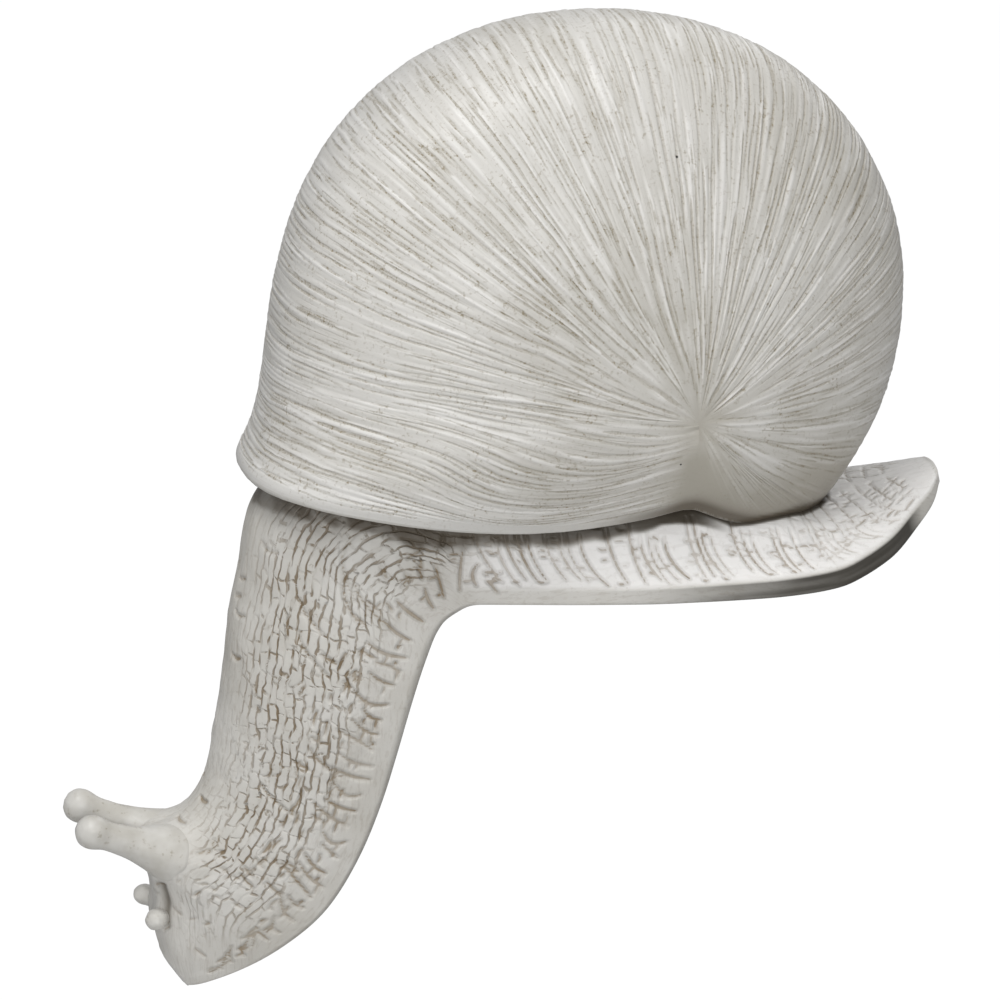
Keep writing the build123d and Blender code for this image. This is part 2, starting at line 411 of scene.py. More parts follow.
def shell_finish():
    """Ivory paint with a taupe wash left in the growth lines, a taupe film that also paints shade, and
    painted shade in brown under the coil and along the lip.
    """
    f = Finish("shell_paint")
    across, along = f.skin()
    crowding = 0.0 - f.mark("spread").maths("LOGARITHM", 2.0)
    hairs, dashes = 0.0, 0.0
    for level in range(5):
        share = (1.0 - (crowding - float(level)).maths("ABSOLUTE")).maths("MAXIMUM", 0.0)
        fine = 2.0**level
        line = f.spot(across * (UV_SPAN / (0.62 * fine)), along * (UV_SPAN / 17), 3.7 * level)
        dash = f.spot(across * (UV_SPAN / (0.75 * fine)), along * (UV_SPAN / 3.6), 9.1 * level)
        hairs = share * f.noise(1.0, 1.0, 0.5, line) + hairs
        dashes = share * f.noise(1.0, at=dash) + dashes
    busy = 1.0 - f.mark("plain")
    groove, ridge = f.mark("groove"), f.mark("ridge")
    cloud = f.noise(28.0, 3.0)
    patches = f.band(cloud, 0.34, 0.66, 0.45, 1.0)
    broken = f.band(dashes, 0.36, 0.60)
    cut = f.band(groove * (0.45 + 0.75 * broken), 0.14, 0.58)
    hair = f.band(hairs, 0.57, 0.72) * busy * (0.35 + 0.65 * broken)
    speck = f.band(f.noise(1300.0, 2.0, 0.7), 0.54, 0.70)
    dust = f.band(f.noise(210.0, 3.0), 0.46, 0.68)
    grit = f.band(f.noise(2600.0, 2.0, 0.75), 0.46, 0.62)
    # The film darkens the paint towards taupe, as wash and as painted shade
    tint = f.blend(f.mark("film") * f.band(cloud, 0.25, 0.75, 0.70, 1.25), SHELL_IVORY, TAUPE)
    chalky = (ridge * 0.46 + (1.0 - hairs) * busy * 0.2 - cut).maths("MAXIMUM", 0.0)
    wash = cut * patches * (0.30 + 0.28 * speck + 0.34 * grit)
    wash = wash + hair * patches * (0.22 + 0.30 * speck + 0.24 * grit)
    wash = wash + speck * (0.20 + 0.38 * dust) * (0.35 + 0.65 * busy)
    stained = f.blend(wash.maths("MINIMUM", 0.95), f.blend(chalky, tint, CHALK), WASH)
    # Painted shade in brown where grime says
    wash_shaded = f.blend(f.mark("grime"), stained, SHADE_BROWN)
    sockets = {"Vector": f.place(), "Scale": 75.0}
    hole, cell = (f.node("TexVoronoi", {"distance": "EUCLIDEAN"}, sockets, out) for out in (0, 1))
    pinhole = f.band(hole, 0.024, 0.016) * f.band(f.parts(cell)[0], 0.84, 0.845)
    height = ridge * 0.25 - groove * 0.25 - cut * 0.15 - hair * 0.35 + dashes * 0.25 * busy + dust * 0.12
    colour = f.blend(pinhole, wash_shaded, PINHOLE)
    return f.shine(colour, 0.29 + 0.30 * wash + 0.12 * cloud, height, 0.00022, 0.8)


def skin_finish():
    """Ivory paint over carved skin, with a brown wash left in every cut, painted light on the foot's back
    and painted shade in crevices and on the foot's wall.
    """
    f = Finish("skin_paint")
    along, round_back = (share * UV_SPAN for share in f.skin())

    def patchy(a, level, scale, detail=2.0, roughness=0.6):
        return f.noise(scale, detail, roughness, f.spot(a, round_back, level))

    def bricks(mortar, width, height, offset, squash, frequency):
        settings = {"offset": offset, "squash": squash, "squash_frequency": frequency}
        sockets = {"Vector": f.spot(shifted_a, shifted_b, 0.0), "Scale": 1.0, "Mortar Size": mortar,
                   "Mortar Smooth": 1.0, "Bias": 0.0, "Brick Width": width, "Row Height": height}
        return f.node("TexBrick", settings, sockets, out=1)

    sway, bend = patchy(along, 4.0, 0.16, 1.0, 0.5), patchy(along, 9.0, 0.45, 1.0, 0.5)
    jitter = f.noise(420.0, 1.0, 0.5)
    shifted_a = along + (jitter - 0.5) * 1.1 + (sway - 0.5) * 6.0
    shifted_b = round_back + (bend - 0.5) * 1.3 + (sway - 0.5) * 3.0 + (jitter - 0.5) * 0.35
    slim = bricks(0.40, 4.3, SLIM_ROW, 0.42, 0.8, 3)
    broad = bricks(0.46, 3.4, BROAD_ROW, 0.5, 1.3, 2)
    which = f.band(patchy(along, 2.0, 0.085, 1.0, 0.5), 0.50, 0.56)
    off_row = shifted_b * (1.0 - which) + shifted_b * which * (SLIM_ROW / BROAD_ROW)
    row = f.band(off_row.maths("PINGPONG", SLIM_ROW / 2), 0.46, 0.26)
    scales = slim * (1.0 - which) + broad * which
    row_gaps = f.band(patchy(along * 0.30, 20.0, 0.75), 0.40, 0.54, 0.10, 1.0)
    joint_gaps = f.band(patchy(along, 31.0, 0.50), 0.48, 0.60, 0.12, 0.85)
    gaps = row * row_gaps + (1.0 - row) * joint_gaps
    scaly, fresh = f.mark("scaly"), f.mark("fresh")
    seams = f.band(scales - patchy(along * 0.6, 44.0, 1.1) * 0.36, 0.0, 0.42) * gaps * scaly
    edge = f.mark("gap") + (f.noise(900.0, 1.0, 0.5) - 0.5) * 0.16
    cut = f.band(edge, 0.10, -0.06) * f.mark("ink")
    cut_side = f.band(f.mark("gap"), 0.55, 0.05) * f.mark("ink")
    cloud = f.noise(45.0, 3.0)
    speck = f.band(f.noise(900.0, 2.0, 0.7), 0.58, 0.72)
    dust = f.band(f.noise(160.0), 0.45, 0.70)
    wear = f.band(cloud, 0.30, 0.70, 0.45, 1.0)
    tint = f.blend(f.band(cloud, 0.35, 0.70) * 0.34 + 0.20, IVORY, TAUPE)
    streaks = f.band(patchy(along * 0.25, 52.0, 1.6, 2.0, 0.65), 0.50, 0.66) * (1.0 - fresh) * (1.0 - scaly)
    stain = seams * wear * 1.12 + streaks * 0.16 + speck * dust * scaly * 0.45
    stain = stain + speck * 0.10 + dust * 0.05 + cut_side * 0.20
    # fresh whitens the foot's back, partly as painted light
    washed = f.blend(stain.maths("MINIMUM", 1.0), f.blend(fresh * 0.95, tint, CHALK), SKIN_WASH)
    scored = f.blend(cut * f.band(dust, 0.0, 0.5, 0.72, 0.95), washed, CUT_WASH)
    # Painted shade in brown, patchy, where grime says
    wash_shaded = f.blend(f.mark("grime") * f.band(cloud, 0.25, 0.6, 0.85, 1.0), scored, SHADE_BROWN)
    height = scales * scaly * (0.35 + 0.65 * gaps) * -0.55 + f.noise(330.0) * 0.35
    height = height - cut_side * 0.45 - cut * 0.30
    # Painted shade, near black, where soot says
    colour = f.blend(f.mark("soot"), wash_shaded, SHADE_DARK)
    return f.shine(colour, 0.44 + 0.20 * stain + 0.08 * cloud, height, 0.00042, 0.9)


def stalk_finish():
    """Smooth ivory paint with a faint taupe speckle, and painted shade towards the root."""
    f = Finish("stalk_paint")
    cloud = f.noise(120.0, 3.0)
    speck = f.band(f.noise(700.0, 2.0, 0.7), 0.58, 0.72)
    tint = f.blend(f.band(cloud, 0.36, 0.70) * 0.45 + 0.16, STALK_IVORY, TAUPE)
    stained = f.blend(speck * f.band(cloud, 0.42, 0.62) * 0.60, tint, WASH)
    # Painted shade in brown towards the root
    colour = f.blend(f.mark("grime"), stained, SHADE_BROWN)
    return f.shine(colour, 0.30 + 0.22 * cloud, f.noise(260.0), 0.00022, 0.6)


def hidden_finish(name, dark, light, scale, detail, rough, depth, strength, **constants):
    """A cloudy finish for what the shell and the stalks hide."""
    f = Finish(name)
    cloud = f.noise(scale, detail)
    colour = f.blend(f.band(cloud, 0.3, 0.7), dark, light)
    return f.shine(colour, rough[0] + rough[1] * cloud, cloud, depth, strength, **constants)


def floor_finish():
    """Plain white, as a studio sweep."""
    f = Finish("studio_floor")
    plain = f.node("BsdfDiffuse", None, {"Color": (0.55, 0.55, 0.55, 1)})
    lit = f.node("Emission", None, {"Color": (1, 1, 1, 1), "Strength": 1.15})
    return f.mix(f.node("LightPath", out="Is Camera Ray") * 0.85, plain, lit, "OutputMaterial")


# Shell

TINY = 1e-6
SHELL_COLUMNS, SHELL_ROWS = 1480, 30
CREST = 0.99999
DISK_FROM, DISK_TO, DISK_STEPS = 140, 270, 120
GROOVES = {"pitch": 1.30, "width": 0.27, "gaps": 0.24, "seed": 10}
RIDGES = {"pitch": 2.1, "width": 0.42, "gaps": 0.38, "seed": 40}
RELIEF = {"groove": 0.15, "ridge": 0.10, "hair": 0.12, "broad": 0.20, "waver": 0.25, "umbilicus": 0.55,
          "valley": 1.0, "lip": 0.35, "most": 0.30, "sink": 0.36}

coil_share = flowing(*zip(*[(a + turn, s) for turn in (-360, 0, 360) for a, s in COIL_SHARES]))
lip_height = flowing(*zip(*[(COIL[0] + SHELL_REACH * x, LIP_FRONT * z) for x, z in LIP_SHARES]))


def coil_radius(turn):
    """Radius of the coil on the middle plane, by the angle about its axis."""
    return SHELL_REACH * coil_share((turn + 180) % 360 - 180)


def spoke(turn, far):
    """Points this far out at these turns."""
    return np.stack([far * np.cos(np.radians(turn)), far * np.sin(np.radians(turn))], -1)


def side_view(turn, reach):
    """Place and height of points, by turn about the coil's axis and share of the way to the crest."""
    return np.moveaxis(spoke(turn, coil_radius(turn) * reach) + COIL, -1, 0)


def shell_gap(x, y, z, inset=0.0):
    """How far points lie outside the shell's full form, measured away from its axis."""
    side = np.minimum(np.abs(y) / SHELL_HALF_WIDTH, 1)
    dx, dz = x - COIL[0] + FLANK_LEAD[0] * side**2, z - COIL[1] - FLANK_LEAD[1] * side**2
    size = np.maximum(1 - side**FLANK_FULLNESS, 0)**(1 / FLANK_FULLNESS)
    return np.hypot(dx, dz) - (coil_radius(np.degrees(np.arctan2(dz, dx))) - inset) * size


def flank_side(x, z, inset=0.0):
    """How far out to the side the shell's surface lies over a point of its side view, from 0 to 1."""
    return halved(np.zeros_like(x), np.ones_like(x), 34,
                  lambda side: shell_gap(x, side * SHELL_HALF_WIDTH, z, inset) < 0)[0]


def on_shell(turn, reach):
    """Points of the shell's near half, by turn about the umbilicus and share of the way to the crest."""
    inner = np.maximum(1 - reach**2, 0)**2
    x, z = side_view(turn, reach)
    x, z = x + UMBILICUS_SHIFT[0] * inner, z + UMBILICUS_SHIFT[1] * inner
    return np.stack([x, -SHELL_HALF_WIDTH * np.where(reach > CREST, 0, flank_side(x, z)), z], -1)


def shell_normals(points, step=0.05):
    """Directions straight out of the shell's smooth surface."""
    def gap(shift):
        return shell_gap(*np.moveaxis(points + shift, -1, 0))

    return unit(np.stack([gap(shift) - gap(-shift) for shift in step * np.eye(3)], -1))


def over_lip(turn, reach):
    """Whether points of the side view lie above the rolled lip."""
    x, z = side_view(turn, reach)
    return z > lip_height(x) + LIP_ROLL


def reach_at_lip(turn):
    """How far from the umbilicus towards the crest the lip cuts a straight growth line."""
    return halved(np.full_like(turn, 0.3), np.ones_like(turn), 40, lambda reach: over_lip(turn, reach))[0]


def even_reaches(turns, ends, count):
    """For each straight growth line, the reaches that part it into equal lengths."""
    fine = np.sin(np.linspace(0, pi / 2, 160))
    table = []
    for turn, end in zip(turns, ends):
        run = run_of(on_shell(np.full(len(fine), turn), fine * end))
        table.append(np.interp(np.linspace(0, run[-1], count), run, fine * end))
    return np.array(table)


def growth_lines(columns, rows):
    """Growth lines of the near half: most start at the umbilicus, the last on the valley below it."""
    steps = np.linspace(0, 1, rows)
    crest_from = float(halved(-85.0, -15.0, 40, lambda turn: not over_lip(turn, 1.0))[1])
    probe = np.concatenate([np.linspace(NOTCH_TURN, crest_from, 360),
                            np.linspace(crest_from, DISK_TO, 300)[1:]])
    table = even_reaches(probe, np.where(probe < crest_from - TINY, reach_at_lip(probe), 1.0), rows)
    disk_turns = np.arange(float(DISK_FROM), DISK_TO + 1)
    disk = even_reaches(disk_turns, np.ones(len(disk_turns)), DISK_STEPS + 1)
    notch_x, _ = side_view(NOTCH_TURN, reach_at_lip(np.array([NOTCH_TURN]))[0])
    walk_x = np.linspace(notch_x, COIL[0] - 1.5 * SHELL_REACH, 900)
    walk_z = lip_height(walk_x) + LIP_ROLL
    turn = np.degrees(np.arctan2(walk_z - COIL[1], walk_x - COIL[0])) % 360
    reach = np.hypot(walk_z - COIL[1], walk_x - COIL[0]) / coil_radius(turn)
    last = int(np.argmax(reach >= 1.0))
    turn, reach = turn[:last + 1], np.minimum(reach[:last + 1], 1)
    reach[-1] = 1.0
    walk = np.column_stack([on_shell(turn, reach), turn, reach])
    run = run_of(walk)
    lip = sampled(np.linspace(0, run[-1], rows), run, walk)[:, 3:]
    lip[-1, 1] = 1.0
    lip_end = lip[-1, 0]
    rim = [np.interp(r, disk[int(round(t - DISK_FROM))], np.linspace(0, 1, DISK_STEPS + 1)) for t, r in lip]

    def lines(ends):
        straight = np.array([np.interp(ends, probe, table[:, j]) for j in range(rows)]).T
        share = np.clip((ends - VALLEY_TURN) / (lip_end - VALLEY_TURN), 0, 1)[:, None, None]
        top, bottom = spoke(VALLEY_TURN, steps)[None], spoke(lip[:, 0], np.array(rim))[None]
        edge = spoke(ends, 1.0)[:, None] - (1 - share) * top[:, -1:] - share * bottom[:, -1:]
        spot = (1 - share) * top + share * bottom + steps[None, :, None] * edge
        far = np.minimum(np.hypot(spot[..., 0], spot[..., 1]), 1)
        turn = np.degrees(np.arctan2(spot[..., 1], spot[..., 0])) % 360
        reach = between(disk, np.clip(turn - DISK_FROM, 0, len(disk) - 1.001),
                        np.clip(far * DISK_STEPS, 0, DISK_STEPS - 0.001))
        reach[:, -1] = 1.0
        curved = (ends > VALLEY_TURN)[:, None]
        return np.where(curved, turn, ends[:, None]), np.where(curved, reach, np.minimum(straight, 1))

    first = np.sort(np.concatenate([np.linspace(NOTCH_TURN, lip_end, 1200), [crest_from, VALLEY_TURN]]))
    gaps = length_of(np.diff(on_shell(*lines(first)), axis=0)).max(axis=1)
    run = np.concatenate([[0], np.cumsum(gaps)])
    ends = np.interp(np.linspace(0, run[-1], columns), run, first)
    for exact in (crest_from, VALLEY_TURN):
        ends[np.argmin(np.abs(ends - exact))] = exact
    return ends, *lines(ends), run[-1] / (columns - 1), crest_from


def line_levels(across, along, spread, pitch, stretch, seed):
    """Soft lines that keep their pitch where they crowd together, because some of them end."""
    crowding = -np.log2(np.clip(spread, 0.03, 1))
    total = np.zeros_like(spread)
    for level in range(6):
        total += np.clip(1 - np.abs(crowding - level), 0, 1) * grain(
            across / (pitch * 2**level), along / stretch + 3 * level, seed + level)
    return total


def drawn_lines(across, along, spread, sway, pitch, width, gaps, seed):
    """Lines drawn one by one with a tool: broken, uneven, and fewer where they crowd together."""
    draw = np.random.default_rng(seed).uniform
    places = across[:, 0]
    total = np.zeros_like(spread)
    for i in range(1, int(places[-1] / pitch)):
        fewer = min(i & -i, 64)
        place = (i + draw(-0.30, 0.30)) * pitch
        strength, breadth = draw(0.5, 1.0), width * draw(0.75, 1.3)
        block = slice(*np.searchsorted(places, [place - 3.4 * fewer, place + 3.4 * fewer]))
        v, crowd = along[block], spread[block]
        drift = lumps(v / 11, i * 1.73, seed + 1, 1.1)
        broken = ease(grain(v / 8.5, i * 2.19, seed + 2), gaps, gaps + 0.28)
        off = (places[block, None] - place) * crowd - drift - sway[block]
        seen = ease(pitch * fewer * crowd, 0.55, 1.05)
        total[block] = np.maximum(total[block], bell(off, breadth) * strength * broken * seen)
    return total


def roll_lip(casting, loop, outward):
    """The rolled lip: round its edge, and up the inside of the wall to where the seat closes it."""
    ring = np.vstack([loop, loop[:1]])
    run = run_of(ring)
    ahead, behind = (sampled((run[:-1] + step) % run[-1], run, ring) for step in (1.5, -1.5))
    tangent = unit(ahead - behind)
    down = np.cross(tangent, outward)
    down *= np.sign(-down[:, 2:])
    down = unit(down - outward * (down * outward).sum(1, keepdims=True))
    for _ in range(3):
        down = unit(np.roll(down, 1, 0) + down + np.roll(down, -1, 0))
    rings = [loop]
    for angle in np.radians([22, 45, 68, 90, 115, 140, 165, 180]):
        rings.append(loop - outward * LIP_ROLL + LIP_ROLL * (cos(angle) * outward + sin(angle) * down))
    rings += [rings[-1] - down * rise for rise in (2.0, 4.5, 7.0)]
    # Painted shade: darker round the roll and up the inside of the wall, darker still along the rear lip,
    # and dark on the closing fan
    shade_ramp = np.array([0, 0.03, 0.08, 0.2, 0.35, 0.5, 0.65, 0.75, 0.8, 0.85, 0.9, 0.9])
    shade_ramp = np.maximum(shade_ramp[:, None], 0.72 * ease(loop[:, 0], 26, 46))
    casting.grid(np.array(rings), closed=True, spread=1.0, plain=1.0, film=0.3, grime=shade_ramp)
    casting.fan(rings[-1], rings[-1].mean(0) + [0, 0, 8], spread=1.0, plain=1.0, grime=0.9)


def sized(part, shares):
    """The rows of a table of sections in millimetres."""
    return np.array(shares) * [part["length"], part["rise"], 1, part["depth"], part["half_width"], RIM, 1]


def foot_top(x, y):
    """Height of the foot's back over the ledge."""
    place, *rows = sized(FOOT, FOOT_SHARES[::-1]).T
    rise, _, depth, width, rim, _ = (np.interp(x, place, row) for row in rows)
    skirt = np.array(SKIRT_SHARES[::-1], float)
    return rise + rim + (depth - rim) * np.interp(np.abs(y) / width, skirt[:, 0], skirt[:, 1], right=-9.0)


def shell_piece():
    """The grooved shell, grown line by line from both umbilici to the crest."""
    ends, turn, reach, step, crest_from = growth_lines(SHELL_COLUMNS, SHELL_ROWS)
    near = on_shell(turn, reach)
    across = (np.arange(SHELL_COLUMNS) * step)[:, None] * np.ones((1, SHELL_ROWS))
    along = run_of(near)
    meets, on_valley = ends > crest_from - TINY, ends > VALLEY_TURN + TINY
    from_crest = np.where(meets, along[:, -1], along[np.argmax(meets), -1])[:, None] - along
    spread = np.clip(length_of(np.gradient(near, axis=0)) / step, 0.02, 1)
    x, y, z = np.moveaxis(near, -1, 0)
    from_middle = np.hypot(x - near[0, 0, 0], z - near[0, 0, 2])
    to_lip = np.maximum(z - lip_height(x) - LIP_ROLL, 0)
    to_foot = np.maximum(z - foot_top(x, y), 0)
    from_seam = np.where(on_valley[:, None], along, across * spread)
    seam_side = 1 - ease(from_seam, 0.4, 3.0)
    below = near[0, 0, 2] - 2 - z
    valley = bell(x - np.interp(z, near[0, ::-1, 2], near[0, ::-1, 0]), 22.0**0.5) * ease(below, 1, 14)
    under = ease(below, 2, 22) * ease(x, COIL[0] - 10, COIL[0] + 6)
    middle = bell(from_middle, 4.2)
    beside = (1 - ease(from_seam, 1.0, 13.0)) * ease(below, 0, 9)
    plain = 0.9 * middle + bell(to_lip, 0.7 + 2.0 * ease(x, 46, 56)) + seam_side * 0.9 * ease(below, 0, 6)
    plain = np.clip(plain + 0.8 * beside + 0.70 * under * (1 - ease(from_middle, 40, 52)), 0, 1)
    calm = 1 - plain
    # film: a taupe wash film that also carries painted shade, darker towards the rear, under the coil and
    # along the valley, and thinner just above the front lip as painted light
    film = 0.30 + 0.36 * ease(x, 10, 105) + 0.44 * under + 0.30 * valley + 0.25 * middle
    film += 0.36 * bell(from_middle, 40) * (1 - 0.9 * ease(x, 46, 64))
    film -= 0.30 * bell(to_lip, 5.0) * (1 - ease(x, 24, 44))
    # Painted shade in brown: on the underside near the foot, along the valley below the umbilicus, along the
    # rear lip and where the shell meets the foot
    grime = 0.38 * under * ease(z, 38, 8) + 0.28 * valley * ease(below, 12, 24)
    grime += 0.78 * bell(to_lip, 1.9) * ease(x, 26, 46) + 0.80 * bell(to_foot, 1.5) * ease(x, 46, 54)
    outward = shell_normals(near)
    outward[meets, -1, 1] = 0
    outward = unit(outward)
    seam = np.flatnonzero(ends > VALLEY_TURN - TINY)
    rear_edge = np.flatnonzero(ends < crest_from + TINY)[:0:-1]
    casting, lip_lines = Casting(), []
    for side in (-1, 1):
        signed = from_crest * side + 0.0
        waver = grain(across / 26, signed / 17, 70)
        sway = (waver - 0.5) * 1.6
        cuts = drawn_lines(across, signed, spread, sway, **GROOVES)
        ridges = drawn_lines(across, signed, spread, sway, **RIDGES)
        hair = line_levels(across, signed, spread, 0.9, 16, 30)
        broad = line_levels(across, signed, spread, 5.0, 40, 50)
        height = RELIEF["ridge"] * ridges - RELIEF["groove"] * cuts
        height = (height + (hair - 0.5) * RELIEF["hair"] + (broad - 0.5) * RELIEF["broad"]) * calm
        height += (waver - 0.5) * RELIEF["waver"] * (1 - seam_side)
        height -= RELIEF["umbilicus"] * bell(from_middle, 6.0) + RELIEF["valley"] * valley
        height += RELIEF["lip"] * bell(to_lip - 1.3, 1.7) * (1 - ease(x, 0, 34))
        height = np.minimum(height, RELIEF["most"]) - RELIEF["sink"]
        height[ends < VALLEY_TURN + TINY, 0] = -RELIEF["sink"] - RELIEF["umbilicus"]
        out = outward * [1, -side, 1]
        placed = near * [1, -side, 1] + out * height[..., None]
        placed[meets, -1, 1] = 0.0
        placed[~on_valley, 0] = placed[0, 0]
        places = np.stack([across / UV_SPAN, (signed + 200) / UV_SPAN], -1)
        marks = {"spread": spread, "groove": cuts * calm, "ridge": ridges * calm, "plain": plain,
                 "film": np.clip(film + 0.35 * (broad - 0.5) * calm, 0, 1), "grime": np.clip(grime, 0, 0.9)}
        casting.grid(placed[1:], places[1:], **{name: mark[1:] for name, mark in marks.items()})
        casting.zip(placed[1], placed[seam, 0], places[1], places[seam, 0],
                    **{name: np.concatenate([mark[1], mark[seam, 0]]) for name, mark in marks.items()})
        lip_lines.append([np.vstack([grid[rear_edge, -1], grid[-1]]) for grid in (placed, out)])
    loop, normals = (np.vstack([one, other[-2:0:-1]]) for one, other in zip(*lip_lines))
    roll_lip(casting, loop, unit(normals))
    casting.piece("shell_casting", shell_finish(), "shell_resin", "shell")


# Body

BODY_STATIONS, HEAD_STATIONS = 466, 190
SOLE, WALL, LOW, HIGH = 7, 7, 40, 46
BEND_PLACE = 8.0
SEEN_AHEAD, SEEN_UP, SEEN_SLOPE = (0.974, -0.225, 0), (0.07, 0.301, 0.951), 0.325
CARVED, FACE_FOLD, FACE_POCKET, SKIN_SINK = 0.42, 0.4, 0.6, 0.12
# Painted shade on the foot's wall: its strength by the way along the body from the tail
WALL_SHADE = ([3, 8, 12, 20, 30, 40, 47, 58, 67, 78], [0, 0.1, 1.0, 0.99, 0.93, 0.86, 0.74, 0.44, 0.18, 0])
UNCUT = 1.5


def stations(count):
    """Even stations from the tail to the chin: place, rise, lean, depth, half-width, rim and roundness."""
    rows = np.vstack([sized(FOOT, FOOT_SHARES), sized(NECK, NECK_SHARES)])
    run = run_of(rows[:, :2] + spoke(rows[:, 2], rows[:, 3] * 0.45))
    places = np.linspace(1.2, run[-1] - 1.4, count)
    kernel = np.hanning(15)[1:-1]
    smooth = []
    for column in rows.T:
        padded = np.pad(steady(run, column)(places), len(kernel) // 2, mode="reflect", reflect_type="odd")
        smooth.append(np.convolve(padded, kernel / kernel.sum(), "valid"))
    smooth[1] *= np.clip(ease(smooth[0], 72, 85) + 1 - ease(smooth[0], 2.5, 7.5), 0, 1)
    return places, np.array(smooth).T


def half_section(depth, half_width, rim, roundness):
    """Half of one section, from the middle of the sole to the crest, and the way up from the rim."""
    skirt, rounded = np.array(SKIRT_SHARES, float), np.array(ROUND_SHARES, float)
    shares = skirt + (rounded - skirt) * roundness
    back = np.stack([half_width * shares[:, 0], rim + (depth - rim) * shares[:, 1]], 1)
    whole = np.vstack([back, (back * [-1, 1])[-2::-1]])
    chord = run_of(whole)
    fine = np.linspace(0, chord[len(back) - 1], 150)
    curve = np.stack([flowing(chord, whole[:, i])(fine) for i in range(2)], 1)
    run = run_of(curve)
    near = min(14.0, run[-1] * 0.42)
    up = np.concatenate([np.linspace(0, near, LOW + 1)[1:], np.linspace(near, run[-1], HIGH + 1)[1:]])
    corner = min(0.7, rim * 0.4)
    edge = half_width - corner
    flat = [(edge * t, 0) for t in np.linspace(0, 1, SOLE)]
    turn = [(edge + corner * sin(a), corner * (1 - cos(a))) for a in np.radians([30, 60, 90])]
    rise = np.linspace(corner, rim, WALL + 1)[1:]
    wall = [(half_width, z) for z in rise]
    climb = np.concatenate([np.full(SOLE, -rim - 2), np.full(len(turn), -rim), rise - rim, up])
    return np.vstack([flat, turn, wall, sampled(up, run, curve)]), climb, run[-1]


def strokes(seed, bend, end, rim_run):
    """Carved strokes of one side, each with its width and strength, along the body and up from its rim."""
    rng = np.random.default_rng(seed)
    draw, made = rng.uniform, []

    def stroke(path, steps, width, strength):
        made.append((np.stack(path(np.linspace(0, 1, steps)), 1), width, strength))

    def tick(a, b, size, width, strength):
        tilt, hook = draw(-0.25, 0.25) * size, draw(-0.4, 0.4)
        stroke(lambda t: (a + size * (t - 0.5), b + tilt * t + hook * np.sin(pi * t)), 5, width, strength)

    a = 7.0
    while a < bend - 3:
        tail = 1 - ease(a, 22, 44)
        pair = rng.random() < 0.6
        length, lean = draw(10.0, 15.0) - 2.5 * tail, draw(2.8, 5.2)
        for k in range(2 if pair else 1):
            low = draw(0.9, 2.6)
            start = a + k * draw(1.3, 2.0)
            size = length * draw(0.75, 1.0)
            stroke(lambda t: (start + lean * (1 - (1 - t)**2.2), low + size * t), 9,
                   draw(0.14, 0.24) * (1 - 0.15 * tail), draw(0.45, 0.85) * (1 - 0.50 * tail))
            for _ in range(rng.integers(2, 5)):
                b = low + size * draw(0.1, 1.0)
                place = start + lean * (1 - (1 - (b - low) / size)**2.2)
                tick(place + draw(1.1, 2.2), b, draw(0.8, 1.7), draw(0.15, 0.22),
                     draw(0.3, 0.75) * (1 - 0.4 * tail))
        if rng.random() < 0.4 * (1 - tail):
            tick(a + draw(1, 3), draw(0.8, 1.8), draw(0.6, 1.4), 0.2, 0.8)
        if tail > 0.3:
            for b in np.arange(3.2, 21, 2.4):
                if rng.random() < 0.7:
                    tick(a + draw(0, 3.4), b + draw(-0.9, 0.9), draw(1.3, 2.6), 0.19, draw(0.2, 0.6))
            stroke(lambda t: (a + 2.6 * np.sin(1.3 * t) + 2.0, 7.5 + 15 * t), 10, 0.20,
                   draw(0.35, 0.65) * tail)
        a += draw(2.9, 4.3) + (0.8 if pair else 0) - 0.6 * tail
    a = bend - 3
    while a < end - 8:
        head = ease(a, end - 32, end - 12)
        low = draw(-0.9, 0.8)
        size, lean, bow = draw(4.2, 9.0) * (1 - 0.45 * head), -draw(0.4, 3.4), draw(-0.4, 1.5)
        stroke(lambda t: (a + lean * t + bow * np.sin(pi * t), low + size * t), 7,
               draw(0.22, 0.34) * (1 - 0.3 * head), draw(0.5, 0.95))
        gap = draw(2.7, 4.3)
        for _ in range(rng.integers(1, 3)):
            b = low + size * draw(0.15, 1.05)
            place = a + lean * (b - low) / size
            tick(place + gap * draw(0.35, 0.7), b, draw(1.2, 2.7), draw(0.18, 0.27), draw(0.4, 0.9))
        if rng.random() < 0.25:
            tick(a + draw(0.8, gap - 0.4), draw(0.9, 1.8), draw(0.5, 1.2), 0.26, 0.9)
        for _ in range(rng.integers(1, 4) if head < 0.3 else 0):
            b, shift = draw(6.5, 14.0), draw(0, gap)
            if rng.random() < 0.55:
                tick(a + shift, b, draw(1.6, 3.8), draw(0.16, 0.26), draw(0.4, 0.85))
            else:
                size = draw(1.6, 4.2)
                stroke(lambda t: (a + shift - 0.9 * t, b + size * (t - 0.5)), 4,
                       draw(0.18, 0.30), draw(0.5, 0.9))
        a += gap / rim_run(a)
    for _ in range(7):
        a, b, drop, run = draw(bend + 12, end - 22), draw(12, 24), draw(6, 10), draw(4, 8)
        stroke(lambda t: (a + run * t, b - drop * t**1.6), 9, draw(0.16, 0.26), draw(0.5, 0.9))
    for _ in range(16):
        a, b, size = draw(bend + 6, end - 24), draw(29, 42), draw(2.0, 5.0)
        stroke(lambda t: (a + 0.5 * np.sin(pi * t), b + size * t), 5, draw(0.22, 0.40), draw(0.45, 0.85))
    for _ in range(26):
        a, b = draw(end - 30, end - 4), draw(3, 24)
        if rng.random() < 0.5:
            tick(a, b, draw(0.8, 2.6), draw(0.14, 0.24), draw(0.3, 0.8))
        else:
            size = draw(0.8, 2.6)
            stroke(lambda t: (a + 0.4 * t, b + size * t), 4, draw(0.14, 0.24), draw(0.3, 0.8))
    return made


